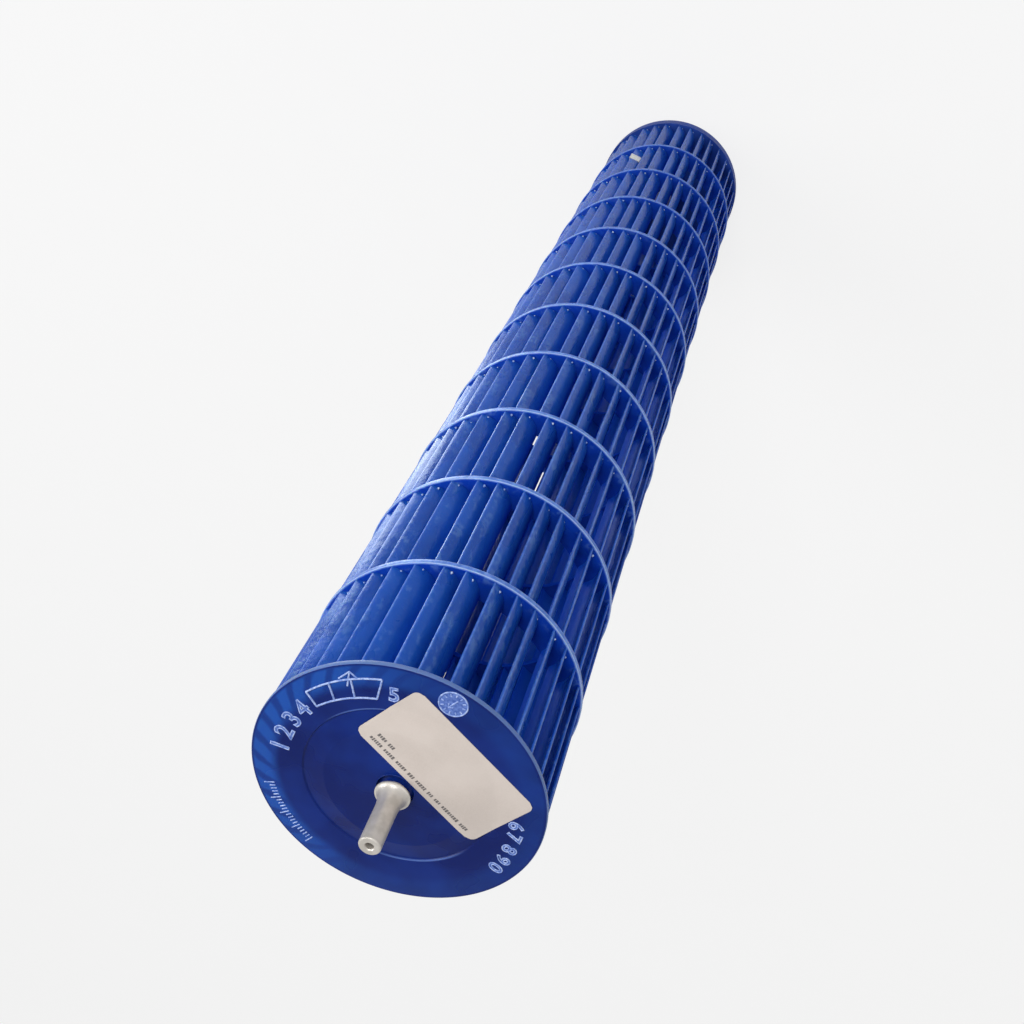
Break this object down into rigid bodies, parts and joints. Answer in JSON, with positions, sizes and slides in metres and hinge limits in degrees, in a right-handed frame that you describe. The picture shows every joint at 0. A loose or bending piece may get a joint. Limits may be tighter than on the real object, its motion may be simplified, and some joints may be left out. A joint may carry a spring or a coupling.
{
  "type": "cross flow fan",
  "caption": "Long drum-shaped fan wheel of forward-curved blades in welded ring sections, with a stub shaft at one end and a set-screw bush at the other.",
  "frame": {"origin": "centre of the motor end's rim, on the wheel's axis", "axes": "+Z along the wheel's axis, from the motor end to the stub shaft; the label lies towards -Y"},
  "size_m": [0.1075, 0.1074, 0.728],
  "materials": {
    "blue_plastic": "gloss",
    "shaft_steel": "satin",
    "bush_metal": "satin",
    "screw_steel": "satin",
    "clip_steel": "satin",
    "label_paper": "matte"
  },
  "bodies": {
    "root": {"shaft_end_section": "blue_plastic", "blade_section_02": "blue_plastic", "blade_section_03": "blue_plastic", "blade_section_04": "blue_plastic", "blade_section_05": "blue_plastic", "blade_section_06": "blue_plastic", "blade_section_07": "blue_plastic", "blade_section_08": "blue_plastic", "blade_section_09": "blue_plastic", "blade_section_10": "blue_plastic", "blade_section_11": "blue_plastic", "motor_end_cap": "blue_plastic", "end_shaft": "shaft_steel", "motor_bush": "bush_metal", "bush_screw": "screw_steel", "balance_clip": "clip_steel", "paper_label": "label_paper"}
  },
  "joints": []
}
